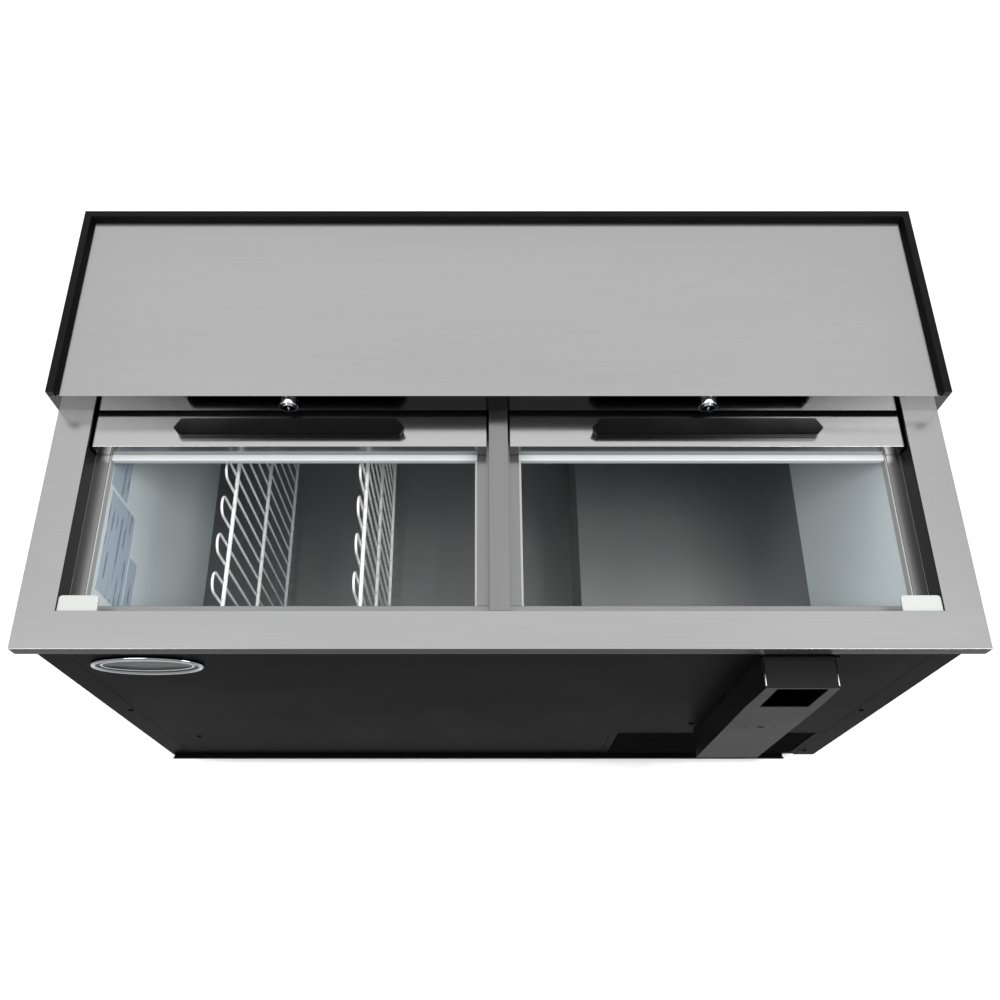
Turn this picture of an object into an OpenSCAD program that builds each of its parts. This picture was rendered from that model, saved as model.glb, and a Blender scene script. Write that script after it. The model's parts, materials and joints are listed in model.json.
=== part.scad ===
// Horizontal bottle cooler: stainless chest with two sliding lids.
// Millimetres, +Z up, -Y is the front. The origin is on the floor, under the middle.

/* [Cabinet] */
// Width over the stainless deck
deck_w = 1262; // [1200:1:1400]
// Depth of the stainless deck, front edge to back edge
deck_d = 680; // [660:1:720]
// Height of the lower deck's top above the floor
deck_top = 803; // [790:1:830]
// Height that the raised rear deck stands above the lower deck
raise_h = 39; // [36:1:60]
// Depth of the raised rear deck
raise_d = 325; // [320:1:345]
// Height of the cabinet's underside above the floor
leg_h = 80; // [70:1:120]
// Thickness of the sheet metal
sheet = 1.5; // [1:0.1:2]

/* [Well] */
// Inside width of the well
well_w = 1132; // [1100:1:1134]
// Height of the well's floor above the floor of the room
well_floor = 198; // [190:1:230]
// Height of the step over the machine bay
step_top = 348; // [340:1:380]
// Place of the step's face, right of the middle
step_x = 156; // [120:1:160]
// Height of the rim ledge that the lids run on
ledge_z = 768; // [765:0.5:770]

/* [Lids] */
// Width of one sliding lid
lid_w = 561; // [540:1:561]
// Depth of one sliding lid
lid_d = 340; // [320:1:345]
// Thickness of one sliding lid
lid_t = 24.8; // [20:0.1:25]
// Length of a lid's handle
handle_l = 328; // [200:1:400]
// Width of the divider between the two lids
mullion_w = 26.6; // [20:0.1:28]

/* [Fittings] */
// Width of the cap catcher
catcher_w = 106; // [90:1:110]
// Height of the cap catcher
catcher_h = 456; // [420:1:460]
// Depth of the cap catcher
catcher_d = 43.2; // [35:0.1:60]
// Spacing of the wires in a bottle divider
wire_pitch = 30; // [26:0.5:30]
// Number of wires in a bottle divider, always even
wire_count = 16; // [12:2:16]
// Number of slats in the grille
slat_count = 9; // [5:1:10]

/* [Hidden] */

$fn = 48;
e = 0.1;                                   // small clearance between neighbours

// Deck
hw = deck_w / 2;
y_back = 356;
y_front = y_back - deck_d;
y_fascia = y_back - raise_d;
border = 51;                               // lower deck's flat border
bay_x = hw - border;                       // inner face of the side border
bay_y0 = y_front + 52;                     // inner face of the front border
bay_y1 = y_back - 20;                      // inner face of the back border
nosing_h = 22;
side_ledge = 20.5;
front_ledge = 19;
rear_ledge = 44;
raise_top = deck_top + raise_h;
rim_w = 15;
rim_top = raise_top + 11;

// Body
body_hw = 621;
body_y0 = y_front + 13;
body_y1 = y_back - 10;
body_z1 = deck_top - nosing_h;
flange_w = 39;
grille_x0 = 206;
grille_z1 = 281;

// Well
well_hw = well_w / 2;
well_y0 = -262;
well_y1 = 294;
well_z1 = ledge_z - sheet - e;
skin = 1.2;
foam_x = body_hw - sheet - e;
foam_z0 = 130;
bay_roof = 298;
drain_x = 115;
drain_y = 278;

// Refrigeration: middles of the main parts
comp_x = 400;
comp_y = 130;
fan_x = 352;                               // condenser fan
fan_z = 192;
evap_x = 480;                              // evaporator fan
evap_z = 600;
line_x = 216;                              // plane of the pipe runs
gland_x = 560;
gland_z = 160;

// Lids, at rest: slid fully back
mull = mullion_w / 2;
lid_x0 = mull + 3.2;
lid_y0 = -23;
lid_z0 = ledge_z + 0.7;
lid_z1 = lid_z0 + lid_t;
lock_x = 296.5;
lock_z = deck_top + 22;
lock_r = 8;

// Cap catcher
cat_x = 404;
cat_z0 = 277;
cat_z1 = cat_z0 + catcher_h;
cat_y1 = body_y0 - 1.8;
cat_y0 = cat_y1 - catcher_d;
window_w = 69;
window_z0 = 631;
window_h = 97;

// Feet
foot_x = 560;
foot_ys = [-262, 292];
stem_r = 6;

// A box from its lowest corner to its highest corner
module block(lo, hi) translate(lo) cube(hi - lo);

// The same part on both sides of the middle
module both_sides() {
    children();
    mirror([1, 0, 0]) children();
}

// A rod along Y, Z or X from a centre point
module rod_y(p, r, l) translate(p) rotate([-90, 0, 0]) cylinder(r = r, h = l);
module rod_z(p, r, l) translate(p) cylinder(r = r, h = l);
module rod_x(p, r, l) translate(p) rotate([0, 90, 0]) cylinder(r = r, h = l);

// A tube with square turns through a list of points, with a ball at each turn
module tube_run(pts, r) {
    for (i = [0 : len(pts) - 2]) {
        d = pts[i + 1] - pts[i];
        l = norm(d);
        if (d[0] != 0) rod_x(d[0] > 0 ? pts[i] : pts[i + 1], r, l);
        if (d[1] != 0) rod_y(d[1] > 0 ? pts[i] : pts[i + 1], r, l);
        if (d[2] != 0) rod_z(d[2] > 0 ? pts[i] : pts[i + 1], r, l);
    }
    for (i = [1 : len(pts) - 2]) translate(pts[i]) sphere(r = r + 0.4);
}

// ---- Body ----
module side_panel() {
    block([-body_hw, body_y0, leg_h], [-body_hw + sheet, body_y1, body_z1]);
    block([-body_hw, body_y0, leg_h], [-body_hw + flange_w, body_y0 + sheet, body_z1]);
}

module left_side_panel() color("#1c1c1c") side_panel();

module right_side_panel() color("#1c1c1c") mirror([1, 0, 0]) side_panel();

module back_panel() color("#9a9c9c") difference() {
    block([-foam_x, body_y1 - sheet, leg_h + 2 + e], [foam_x, body_y1, body_z1]);
    for (i = [0 : 8])
        block([250, body_y1 - 5, 110 + 18 * i], [480, body_y1 + 5, 118 + 18 * i]);
    rod_y([gland_x, body_y1 - 5, gland_z], 9, 10);
}

module front_panel() color("#1c1c1c") difference() {
    block([-body_hw + flange_w + e, body_y0, leg_h], [body_hw - flange_w - e, body_y0 + sheet, body_z1]);
    block([grille_x0, body_y0 - 5, 0], [body_hw, body_y0 + 5, grille_z1]);
}

module front_grille() color("#141414") {
    x0 = grille_x0 + 0.5;
    x1 = body_hw - flange_w - 0.5;
    z0 = leg_h + 12;
    z1 = grille_z1 - 0.5;
    pitch = (z1 - z0 - 24) / slat_count;
    difference() {
        block([x0, body_y0, z0], [x1, body_y0 + 8, z1]);
        block([x0 + 12, body_y0 - 5, z0 + 12], [x1 - 12, body_y0 + 20, z1 - 12]);
    }
    for (i = [0 : slat_count - 1])
        translate([x0 + 11, body_y0 + 1, z0 + 12 + pitch * (i + 0.4)])
            rotate([-30, 0, 0]) cube([x1 - x0 - 22, 1.5, pitch * 0.75]);
}

module base_frame() color("#181818") difference() {
    union() {
        block([-foam_x, body_y0 + sheet + e, leg_h], [foam_x, body_y1 - sheet - e, leg_h + 2]);
        block([-foam_x, body_y0 + sheet + e, leg_h], [foam_x, body_y0 + 2 * sheet + e, leg_h + 11]);
        block([-foam_x, body_y1 - 2 * sheet - e, leg_h], [foam_x, body_y1 - sheet - e, leg_h + 30]);
        block([-body_hw + 2, body_y0 - 8, leg_h - 1.5], [body_hw - 60, body_y0 + 12, leg_h]);
        block([-body_hw + 2, body_y0 - 8, leg_h], [body_hw - 60, body_y0 - 6.5, leg_h + 8]);
    }
    for (x = [-foot_x, foot_x], y = foot_ys) rod_z([x, y, leg_h - 5], stem_r + 3, 10);
}

module leg_sockets() color("#8c8f92") for (x = [-foot_x, foot_x], y = foot_ys) difference() {
    union() {
        rod_z([x, y, 30], 20, leg_h - 30);
        block([x - 30, y - 30, leg_h - 4], [x + 30, y + 30, leg_h]);
    }
    rod_z([x, y, 20], stem_r + 0.3, leg_h);
}

module screw_head(p) rod_y([p[0], body_y0 - 2, p[1]], 4.5, 2);

module panel_screws() color("#2a2a2a") {
    for (z = [119, 430, 741]) screw_head([593, z]);
    for (z = [119, 430, 741]) screw_head([-593, z]);
    screw_head([-531, 238]);
    screw_head([334, 337]);
    for (x = [-590, 0, 590], z = [140, 740]) rod_y([x, body_y1, z], 4.5, 2);
}

// ---- Stainless top ----
module deck_frame() color("#aaaaaa") {
    // Flat border with turned-down nosing
    difference() {
        block([-hw, y_front, deck_top - sheet], [hw, y_back, deck_top]);
        block([-bay_x, bay_y0, 0], [bay_x, bay_y1, deck_top + 5]);
    }
    difference() {
        block([-hw, y_front, deck_top - nosing_h], [hw, y_back, deck_top]);
        block([-hw + sheet, y_front + sheet, 0], [hw - sheet, y_back - sheet, deck_top + 5]);
    }
    // Turned-down inner faces
    difference() {
        block([-bay_x - sheet, bay_y0 - sheet, ledge_z - sheet],
            [bay_x + sheet, bay_y1 + sheet, deck_top]);
        block([-bay_x, bay_y0, 0], [bay_x, bay_y1, deck_top + 5]);
    }
    // Ledge that carries the lids
    difference() {
        block([-bay_x - sheet, bay_y0 - sheet, ledge_z - sheet],
            [bay_x + sheet, bay_y1 + sheet, ledge_z]);
        block([-bay_x + side_ledge, bay_y0 + front_ledge, 0],
            [bay_x - side_ledge, bay_y1 - rear_ledge, deck_top + 5]);
    }
}

module centre_mullion() color("#8e8e8e") difference() {
    union() {
        block([-mull, bay_y0 + e, ledge_z - sheet], [mull, bay_y1 - e, deck_top]);
        block([-30, bay_y0 + front_ledge + e, ledge_z - sheet],
            [30, bay_y1 - rear_ledge - e, ledge_z]);
    }
    block([-mull + sheet, bay_y0 - 5, 0], [mull - sheet, bay_y1 + 5, deck_top - sheet]);
    block([-mull - 1, y_front, 0], [mull + 1, bay_y0 + front_ledge + e, ledge_z + e]);
    block([-mull - 1, bay_y1 - rear_ledge - e, 0], [mull + 1, y_back, ledge_z + e]);
}

module rear_deck() color("#b0b0b0") difference() {
    union() {
        block([-hw + rim_w + e, y_fascia, raise_top - sheet],
            [hw - rim_w - e, y_back - rim_w - e, raise_top]);
        block([-hw, y_fascia, deck_top], [hw, y_fascia + sheet, raise_top - e]);
    }
    for (x = [-lock_x, lock_x]) rod_y([x, y_fascia - 5, lock_z], lock_r + 3, 10);
}

// Rim section: outer wall, flat top, inner face that slopes out to the deck
function rim_section() = [
    [0, deck_top], [0, rim_top], [10.5, rim_top], [rim_w, raise_top], [rim_w, raise_top - 6],
    [rim_w - sheet, raise_top - 6], [rim_w - sheet, raise_top], [10.5 - sheet, rim_top - sheet],
    [sheet, rim_top - sheet], [sheet, deck_top]
];

module rear_deck_rim() color("#0c0c0c") {
    y0 = y_fascia + sheet + e;
    both_sides()
        translate([-hw, y_back, 0]) rotate([90, 0, 0])
            linear_extrude(y_back - y0) polygon(rim_section());
    difference() {
        translate([-hw, y_back, 0]) rotate([90, 0, 90])
            linear_extrude(deck_w) polygon([for (p = rim_section()) [-p[0], p[1]]]);
        both_sides()
            block([-hw + sheet, y_back - rim_w, deck_top - 5],
                [-hw + rim_w - sheet, y_back - sheet, rim_top - sheet - 3]);
    }
    both_sides()
        block([-hw, y_fascia, raise_top + e], [-hw + 10.5, y0 + e, rim_top]);
}

module bay_breaker_strips() color("#f2f3f2") {
    z0 = well_z1 - 15;
    x0 = bay_x - side_ledge - 1.5;
    both_sides() block([-well_hw + 0.2, well_y0 + 0.2, z0], [-x0, well_y1 - 0.2, well_z1]);
    block([-x0, well_y0 + 0.2, z0], [x0, bay_y0 + front_ledge - 0.5, well_z1]);
    block([-33, bay_y0 + front_ledge - 0.5, z0], [33, -32, well_z1]);
}

module rear_cover_panel() color("#eceeee") {
    x = bay_x - side_ledge - 1.8;
    block([-x, -31, 756], [x, well_y1 - 2, well_z1]);
}

module lid_stop_blocks() color("#dcdcdc") both_sides() {
    x0 = -bay_x + 0.4;
    x1 = x0 + 53;
    y0 = bay_y0 + 0.4;
    y1 = y0 + 22;
    z0 = ledge_z + 0.2;
    z1 = deck_top - 3;
    block([x0, y0, z0], [x0 + 1.6, y1 - 5, z1]);
    block([x0, y0, z0], [x1, y0 + 2.6, z1]);
    block([x0, y0, z1 - 3.5], [x1, y1 - 5, z1]);
    block([x0 + 5, y0, z1 - 3.5], [x1 - 5, y1, z1]);
    for (x = [x0 + 5, x1 - 5]) rod_z([x, y1 - 5, z1 - 3.5], 5, 3.5);
}

// ---- Well ----
module tank_walls() color("#c8d2d4") {
    y0 = well_y0 - skin;
    y1 = well_y1 + skin;
    block([-well_hw - skin, well_y0, well_floor], [-well_hw, well_y1, well_z1]);
    block([well_hw, well_y0, step_top], [well_hw + skin, well_y1, well_z1]);
    for (y = [y0, well_y1]) difference() {
        block([-well_hw - skin, y, well_floor], [well_hw + skin, y + skin, well_z1]);
        block([step_x, y - 5, 0], [well_hw + 5, y + 5, step_top]);
    }
}

module tank_floor() color("#4c4c4c") difference() {
    block([-well_hw - skin, well_y0 - skin, well_floor - skin], [step_x, well_y1 + skin, well_floor]);
    rod_z([drain_x, drain_y, 0], 13, 300);
}

module machine_step() color("#4c4c4c") {
    block([step_x + e, well_y0 - skin, well_floor - skin], [step_x + skin, well_y1 + skin, step_top - e]);
    block([step_x + e, well_y0 - skin, step_top - skin - e], [well_hw + skin, well_y1 + skin, step_top - e]);
}

module foam_insulation() color("#e6d9a8") {
    z1 = well_z1;
    y0 = body_y0 + sheet + e;
    y1 = body_y1 - sheet - e;
    wy0 = well_y0 - skin - e;
    wy1 = well_y1 + skin + e;
    wx = well_hw + skin + e;
    difference() {
        block([-wx, wy0, foam_z0], [step_x + skin, wy1, well_floor - skin - e]);
        rod_z([drain_x, drain_y, 0], 14, 300);
    }
    block([step_x + skin + e, wy0, foam_z0], [grille_x0 - 2, wy1, step_top - skin - 2 * e]);
    block([grille_x0 - 2 + e, wy0, bay_roof + 1], [foam_x, wy1, step_top - skin - 2 * e]);
    block([-foam_x, y0, foam_z0], [-wx - e, y1, z1]);
    block([wx + e, wy0, step_top], [foam_x, wy1, z1]);
    for (s = [[y0, wy0], [wy1, y1]]) {
        block([-wx, s[0], foam_z0], [grille_x0 - 2, s[1], z1]);
        block([grille_x0 - 2 + e, s[0], bay_roof + 1], [foam_x, s[1], z1]);
    }
}

module machine_bay_shell() color("#a4a6a6") {
    block([grille_x0 - 1.5, body_y0 + 4, leg_h + 2 + e], [grille_x0 - 0.5, body_y1 - 4, bay_roof + 0.5]);
    block([grille_x0 - 1.5, body_y0 + 4, bay_roof - 0.5], [foam_x, body_y1 - 4, bay_roof + 0.5]);
}

// ---- Refrigeration ----
module compressor() color("#1a1a1a") {
    translate([comp_x, comp_y, 104]) {
        rotate_extrude()
            polygon([[0, 0], [70, 0], [76, 10], [76, 84], [79, 86], [79, 92], [75, 94], [74, 120],
                [66, 142], [50, 156], [26, 164], [0, 166]]);
        block([-100, -70, -4], [100, 70, 0]);
        rod_x([72, -20, 60], 12, 30);
    }
}

module compressor_mounts() color("#151515") for (x = [-85, 85], y = [-55, 55])
    translate([comp_x + x, comp_y + y, leg_h + 2]) {
        cylinder(r = 13, h = 18);
        translate([0, 0, 22]) cylinder(r = 7, h = 3);
    }

module condenser_coil() color("#8a8d8f") {
    block([228, -282, 96], [476, -222, 288]);
    for (z = [114, 151, 188, 225, 262]) both_coil_ends(z);
}

module both_coil_ends(z) {
    rod_x([220, -265, z], 4, 8);
    rod_x([220, -240, z], 4, 8);
    rod_x([476, -265, z], 4, 8);
    rod_x([476, -240, z], 4, 8);
}

module condenser_shroud() color("#9c9e9e") difference() {
    block([226, -221, 94], [478, -196, 290]);
    block([230, -222, 98], [474, -198, 286]);
    rod_y([fan_x, -230, fan_z], 88, 60);
}

module condenser_fan_motor() color("#2c2c2e") {
    rod_y([fan_x, -168, fan_z], 32, 48);
    block([fan_x - 6, -168, 84], [fan_x + 6, -160, 165]);
    block([fan_x - 30, -172, leg_h + 2], [fan_x + 30, -132, 86]);
}

module fan(r, hub_r, depth, blades) {
    rod_y([0, 0, 0], hub_r, depth);
    for (i = [0 : blades - 1])
        rotate([0, i * 360 / blades, 0])
            translate([0, depth / 2, hub_r - 3])
                rotate([0, 0, 28]) translate([-r * 0.3, -0.8, 0]) cube([r * 0.6, 1.6, r - hub_r]);
}

module condenser_fan() color("#303236") translate([fan_x, -190, fan_z]) fan(80, 22, 16, 5);

module refrigerant_lines() color("#b06a3c") {
    tube_r = 3.5;
    // Hot gas line from the compressor's dome to the condenser's top
    tube_run([[comp_x, comp_y, 270], [comp_x, comp_y, 284], [line_x, comp_y, 284],
        [line_x, -240, 284], [line_x, -240, 262]], tube_r);
    // Liquid line from the condenser's foot to the filter drier
    tube_run([[line_x, -265, 114], [line_x, -265, 100], [line_x, -150, 100]], tube_r);
    rod_y([line_x, -150, 100], 10, 110);
    tube_run([[line_x, -40, 100], [line_x, 170, 100], [line_x, 170, 292]], tube_r);
}

module electrical_box() color("#8f9294") {
    block([500, -278, 100], [600, -210, 230]);
}

module thermostat_knob() color("#202020") difference() {
    rod_y([550, -294, 180], 17, 15.7);
    block([548.8, -295, 183], [551.2, -292.5, 196]);
}

module evaporator_coil() color("#b8bcbe") block([190, 226, 500], [400, 286, 700]);

module evaporator_cover() color("#d4d8d8") difference() {
    block([178, 205, 484], [556, well_y1 - e, 722]);
    block([180, 207, 486], [554, well_y1 + 5, 720]);
    rod_y([evap_x, 200, evap_z], 62, 10);
    for (i = [0 : 9]) block([196 + 20 * i, 200, 500], [206 + 20 * i, 210, 560]);
}

module evaporator_fan_motor() color("#2c2c2e") {
    rod_y([evap_x, 232, evap_z], 28, 48);
    block([evap_x - 10, 280, 520], [evap_x + 10, well_y1 - 0.5, 680]);
}

module evaporator_fan() color("#303236") translate([evap_x, 213, evap_z]) fan(54, 16, 14, 5);

module drain_fitting() color("#d8d8d8") difference() {
    union() {
        rod_z([drain_x, drain_y, well_floor], 15, 2.5);
        rod_z([drain_x, drain_y, 84], 12.8, well_floor - 84);
    }
    rod_z([drain_x, drain_y, 70], 9, 200);
}

// ---- Fittings ----
module wall_labels() color("#b9cfe4") {
    t = 0.3;
    x = -well_hw;
    block([x, -211, 618], [x + t, -56, 722]);
    block([x, -50, 661], [x + t, 60, 730]);
    block([x, -224, 580], [x + t, -119, 614]);
}

module badge() color("#3c3c3c") translate([-487, body_y0, 691]) rotate([90, 0, 0])
    scale([1, 76 / 156, 1]) cylinder(r = 78, h = 5);

module catcher_backplate() color("#242424")
    block([cat_x - catcher_w / 2 - 2, body_y0 - 1.5, cat_z0 + 4],
        [cat_x + catcher_w / 2 + 4, body_y0, cat_z1 - 3]);

module cap_catcher() color("#404040") {
    w = catcher_w / 2;
    top = 3.5;
    difference() {
        translate([cat_x, cat_y1, 0]) rotate([90, 0, 0]) linear_extrude(catcher_d)
            polygon([[-w, cat_z0], [w, cat_z0], [w, window_z0], [w - top, cat_z1],
                [top - w, cat_z1], [-w, window_z0]]);
        translate([cat_x, cat_y1 + 1, 0]) rotate([90, 0, 0]) linear_extrude(catcher_d - sheet + 1)
            polygon([[sheet - w, cat_z0 + sheet], [w - sheet, cat_z0 + sheet], [w - sheet, window_z0],
                [w - top - sheet, cat_z1 - sheet], [top + sheet - w, cat_z1 - sheet], [sheet - w, window_z0]]);
        translate([cat_x + 1.5 - window_w / 2, cat_y0 - 5, window_z0]) cube([window_w, 10, window_h]);
        translate([cat_x - 5, cat_y0 - 5, 505]) cube([11, 10, 7]);
        for (s = [-21.6, 21.6]) rod_y([cat_x - 2 + s, cat_y0 - 5, 509], 2, 10);
    }
}

module bottle_opener() color("#909396") {
    x = cat_x + 1.5;
    y0 = body_y0 - 1.5;
    block([x - 17, y0 - 4, 634], [x + 17, y0, 716]);
    difference() {
        translate([x, y0 - 17, 690]) rotate([14, 0, 0]) cylinder(r = 15, h = 5);
        translate([x, y0 - 18, 680]) rotate([14, 0, 0]) cylinder(r = 9, h = 30);
    }
}

module lock_bezels() color("#d9dcde") for (x = [-lock_x, lock_x]) difference() {
    union() {
        rod_y([x, y_fascia - 8, lock_z], 13, 8);
        rod_y([x, y_fascia - 8, lock_z], lock_r + 2.9, 27);
    }
    rod_y([x, y_fascia - 10, lock_z], lock_r + e, 40);
}

module lock_cam() {
    difference() {
        rod_y([0, y_fascia - 9.5, 0], lock_r, 30);
        block([-0.8, y_fascia - 12, -5], [0.8, y_fascia - 7, 5]);
    }
    rod_y([0, y_fascia + 20.5, 0], lock_r, 3);
    block([0, y_fascia + 20.5, -6], [22, y_fascia + 23.5, 6]);
}

module left_lock_cam() color("#cfd2d4") translate([-lock_x, 0, lock_z]) lock_cam();

module right_lock_cam() color("#cfd2d4") translate([lock_x, 0, lock_z]) lock_cam();

module cord_gland() color("#161616") difference() {
    union() {
        rod_y([gland_x, body_y1 - 12, gland_z], 8.8, 12);
        rod_y([gland_x, body_y1, gland_z], 14, 4);
        rod_y([gland_x, body_y1, gland_z], 9, 9);
    }
    rod_y([gland_x, body_y1 - 20, gland_z], 4.5, 40);
}

// ---- Lids ----
module lid_pan() difference() {
    block([lid_x0, lid_y0, lid_z0], [lid_x0 + lid_w, lid_y0 + lid_d, lid_z1]);
    block([lid_x0 + skin, lid_y0 + skin, 0], [lid_x0 + lid_w - skin, lid_y0 + lid_d - skin, lid_z1 - skin]);
}

module lid_core() block([lid_x0 + skin + e, lid_y0 + skin + e, lid_z0 + 2.1],
    [lid_x0 + lid_w - skin - e, lid_y0 + lid_d - skin - e, lid_z1 - skin - e]);

module lid_liner() block([lid_x0 + skin + e, lid_y0 + skin + e, lid_z0],
    [lid_x0 + lid_w - skin - e, lid_y0 + lid_d - skin - e, lid_z0 + 2]);

// Handle: a wedge bar, higher at its back, with its ends chamfered
module lid_handle() {
    l = handle_l / 2;
    corners = [[l - 8, 14, 0], [l - 7, 14.5, 12], [l, 22, 17], [l - 2, 22, 0], [l - 12, 33, 24],
        [l - 12, 35, 0]];
    hull() for (c = corners, s = [-1, 1])
        translate([lock_x + s * c[0], lid_y0 + c[1], lid_z1 + c[2]]) cube([0.02, 0.02, 0.02]);
}

// Keeper: an upright behind the fascia that the cam turns down behind
module lid_keeper() {
    y = lid_y0 + 316;
    block([lock_x - 30, y - 2.5, lid_z1], [lock_x + 30, y, lid_z1 + 20]);
    block([lock_x - 30, y - 22, lid_z1], [lock_x + 30, y, lid_z1 + 2]);
}

module left_lid_pan() color("#9a9a9a") mirror([1, 0, 0]) lid_pan();
module left_lid_core() color("#e6d9a8") mirror([1, 0, 0]) lid_core();
module left_lid_liner() color("#f0f0f0") mirror([1, 0, 0]) lid_liner();
module left_lid_handle() color("#161616") mirror([1, 0, 0]) lid_handle();
module left_lid_keeper() color("#b8b8b8") mirror([1, 0, 0]) lid_keeper();
module right_lid_pan() color("#b4b4b4") lid_pan();
module right_lid_core() color("#e6d9a8") lid_core();
module right_lid_liner() color("#f0f0f0") lid_liner();
module right_lid_handle() color("#161616") lid_handle();
module right_lid_keeper() color("#b8b8b8") lid_keeper();

// ---- Wire bottle dividers ----
module divider() {
    wire_r = 2;
    rod_r = 3.25;
    y0 = well_y0 + 50;
    top = 724 - wire_r - wire_pitch / 2;
    for (i = [0 : wire_count - 1])
        rod_z([0, y0 + i * wire_pitch, well_floor + 0.5], wire_r, top - well_floor - 0.5);
    for (i = [0 : 2 : wire_count - 2])
        translate([0, y0 + (i + 0.5) * wire_pitch, top]) rotate([90, 0, 90])
            rotate_extrude(angle = 180) translate([wire_pitch / 2, 0]) circle(r = wire_r, $fn = 20);
    for (z = [233, 459, 670])
        rod_y([wire_r + rod_r - 0.8, well_y0 + 4, z], rod_r, 80 + (wire_count - 1) * wire_pitch);
}

module left_divider() color("#f4f4f2") translate([-403, 0, 0]) divider();

module right_divider() color("#f4f4f2") translate([-204, 0, 0]) divider();

// ---- Feet ----
module foot(x, y) translate([x, y, 0]) {
    cylinder(r1 = 13, r2 = 18, h = 12);
    translate([0, 0, 12]) cylinder(r = 18, h = 17);
    translate([0, 0, 29]) cylinder(r = stem_r, h = 46);
}

module foot_front_left() color("#8c8f92") foot(-foot_x, foot_ys[0]);
module foot_front_right() color("#8c8f92") foot(foot_x, foot_ys[0]);
module foot_rear_left() color("#8c8f92") foot(-foot_x, foot_ys[1]);
module foot_rear_right() color("#8c8f92") foot(foot_x, foot_ys[1]);

left_side_panel();
right_side_panel();
back_panel();
front_panel();
front_grille();
base_frame();
leg_sockets();
panel_screws();
deck_frame();
centre_mullion();
rear_deck();
rear_deck_rim();
bay_breaker_strips();
rear_cover_panel();
lid_stop_blocks();
tank_walls();
tank_floor();
machine_step();
foam_insulation();
machine_bay_shell();
compressor();
compressor_mounts();
condenser_coil();
condenser_shroud();
condenser_fan_motor();
refrigerant_lines();
electrical_box();
evaporator_coil();
evaporator_cover();
evaporator_fan_motor();
drain_fitting();
wall_labels();
badge();
catcher_backplate();
bottle_opener();
lock_bezels();
cord_gland();
left_lid_pan();
left_lid_core();
left_lid_liner();
left_lid_handle();
left_lid_keeper();
right_lid_pan();
right_lid_core();
right_lid_liner();
right_lid_handle();
right_lid_keeper();
left_lock_cam();
right_lock_cam();
left_divider();
right_divider();
cap_catcher();
condenser_fan();
evaporator_fan();
thermostat_knob();
foot_front_left();
foot_front_right();
foot_rear_left();
foot_rear_right();
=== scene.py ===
"""Looks for the horizontal bottle cooler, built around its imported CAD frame."""

import json
import math

import bmesh
import bpy
from bpy.props import FloatProperty, FloatVectorProperty, IntProperty, PointerProperty
from mathutils import Matrix, Vector

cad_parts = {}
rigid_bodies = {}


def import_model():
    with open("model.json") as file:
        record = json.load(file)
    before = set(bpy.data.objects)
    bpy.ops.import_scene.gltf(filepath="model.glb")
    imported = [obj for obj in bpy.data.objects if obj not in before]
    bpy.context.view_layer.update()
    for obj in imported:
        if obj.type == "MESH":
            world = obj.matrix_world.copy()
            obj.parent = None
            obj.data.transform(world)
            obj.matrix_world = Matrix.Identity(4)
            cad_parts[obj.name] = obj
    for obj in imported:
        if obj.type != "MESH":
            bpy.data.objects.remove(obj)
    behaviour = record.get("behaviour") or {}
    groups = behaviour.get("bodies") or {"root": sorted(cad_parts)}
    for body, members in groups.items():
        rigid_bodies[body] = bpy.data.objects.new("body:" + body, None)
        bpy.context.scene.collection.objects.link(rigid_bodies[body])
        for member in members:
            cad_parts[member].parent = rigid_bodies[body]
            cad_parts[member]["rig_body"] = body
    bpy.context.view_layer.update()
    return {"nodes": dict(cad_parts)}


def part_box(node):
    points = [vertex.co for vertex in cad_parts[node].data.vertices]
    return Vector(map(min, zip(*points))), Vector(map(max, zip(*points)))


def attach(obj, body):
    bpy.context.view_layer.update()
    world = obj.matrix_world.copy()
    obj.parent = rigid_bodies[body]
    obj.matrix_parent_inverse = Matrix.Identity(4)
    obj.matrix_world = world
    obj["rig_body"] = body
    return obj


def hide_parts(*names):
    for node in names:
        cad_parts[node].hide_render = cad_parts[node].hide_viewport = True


bl_info = {
    "name": "Bottle Cooler",
    "version": (1, 0, 0),
    "blender": (4, 5, 0),
    "location": "View3D > Sidebar > Bottle Cooler",
    "description": "Builds a horizontal bottle cooler with sliding lids, piece by piece",
    "category": "Object",
}

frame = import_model()
MM = 0.001


# ---------------------------------------------------------------- colours and node helpers
def linear(hex_code):
    """An sRGB hex colour as a linear RGBA tuple."""
    channels = [int(hex_code[i : i + 2], 16) / 255 for i in (1, 3, 5)]
    return tuple(c / 12.92 if c <= 0.04045 else ((c + 0.055) / 1.055) ** 2.4 for c in channels) + (1.0,)


def add_node(tree, kind, inputs=None, **settings):
    """Add a node, set its properties, and set or link its inputs."""
    node = tree.nodes.new(kind)
    for key, value in settings.items():
        setattr(node, key, value)
    for key, value in (inputs or {}).items():
        if isinstance(value, bpy.types.NodeSocket):
            tree.links.new(value, node.inputs[key])
        else:
            node.inputs[key].default_value = value
    return node


def new_finish(name, colour, roughness, metallic=0.0, **sockets):
    """A material with one Principled shader, and its node tree and shader."""
    mat = bpy.data.materials.new(name)
    mat.use_nodes = True
    tree = mat.node_tree
    shader = tree.nodes["Principled BSDF"]
    shader.inputs["Base Color"].default_value = colour
    shader.inputs["Roughness"].default_value = roughness
    shader.inputs["Metallic"].default_value = metallic
    for key, value in sockets.items():
        shader.inputs[key.replace("_", " ")].default_value = value
    mat.diffuse_color = colour
    return mat, tree, shader


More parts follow.
